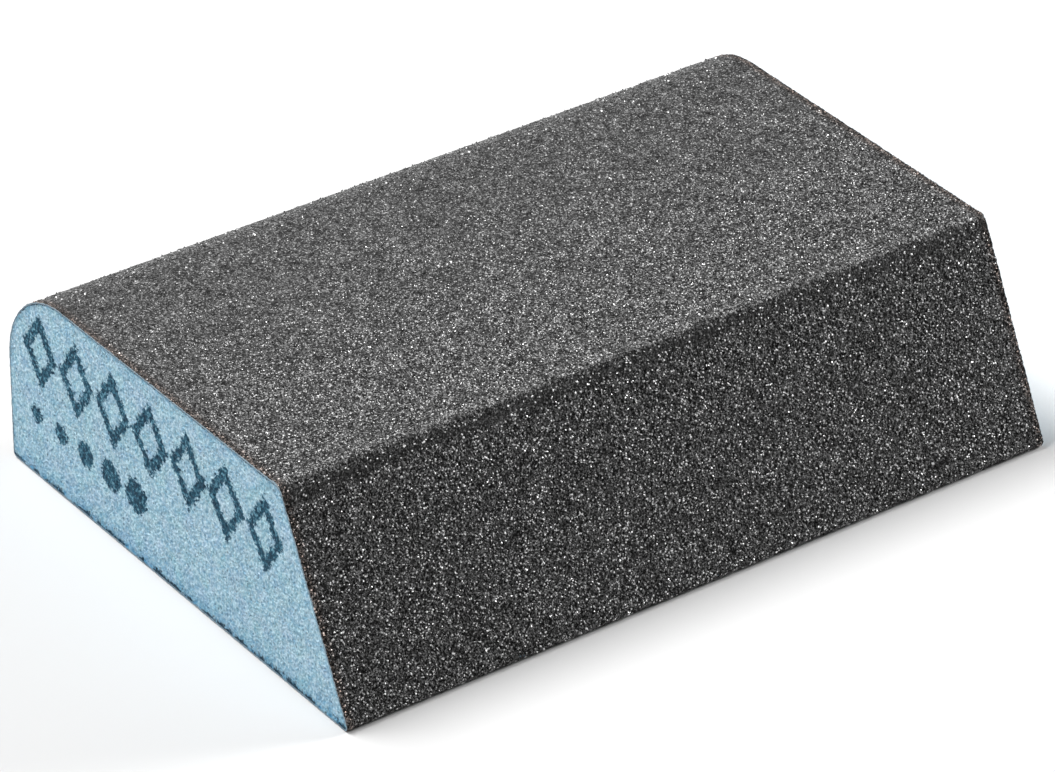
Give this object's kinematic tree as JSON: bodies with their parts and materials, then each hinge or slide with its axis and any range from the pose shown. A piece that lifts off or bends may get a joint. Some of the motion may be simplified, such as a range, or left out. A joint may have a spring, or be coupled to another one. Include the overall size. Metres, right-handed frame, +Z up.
{
  "type": "sanding block",
  "caption": "Combination foam sanding block with a coat of abrasive on its long sides, a slanted side for corners, a rounded edge opposite it and bare sawn ends.",
  "frame": {"origin": "centre of the base that the block rests on", "axes": "+X along the block's length, +Z up from the base, and the slanted side faces -Y"},
  "size_m": [0.098, 0.068, 0.0254],
  "materials": {
    "foam": "matte",
    "resin_bond": "satin",
    "grit": "matte"
  },
  "bodies": {
    "root": {"foam_core": "foam", "bottom_bond": "resin_bond", "rounded_side_bond": "resin_bond", "top_bond": "resin_bond", "slanted_side_bond": "resin_bond", "bottom_grit": "grit", "rounded_side_grit": "grit", "top_grit": "grit", "slanted_side_grit": "grit"}
  },
  "joints": []
}
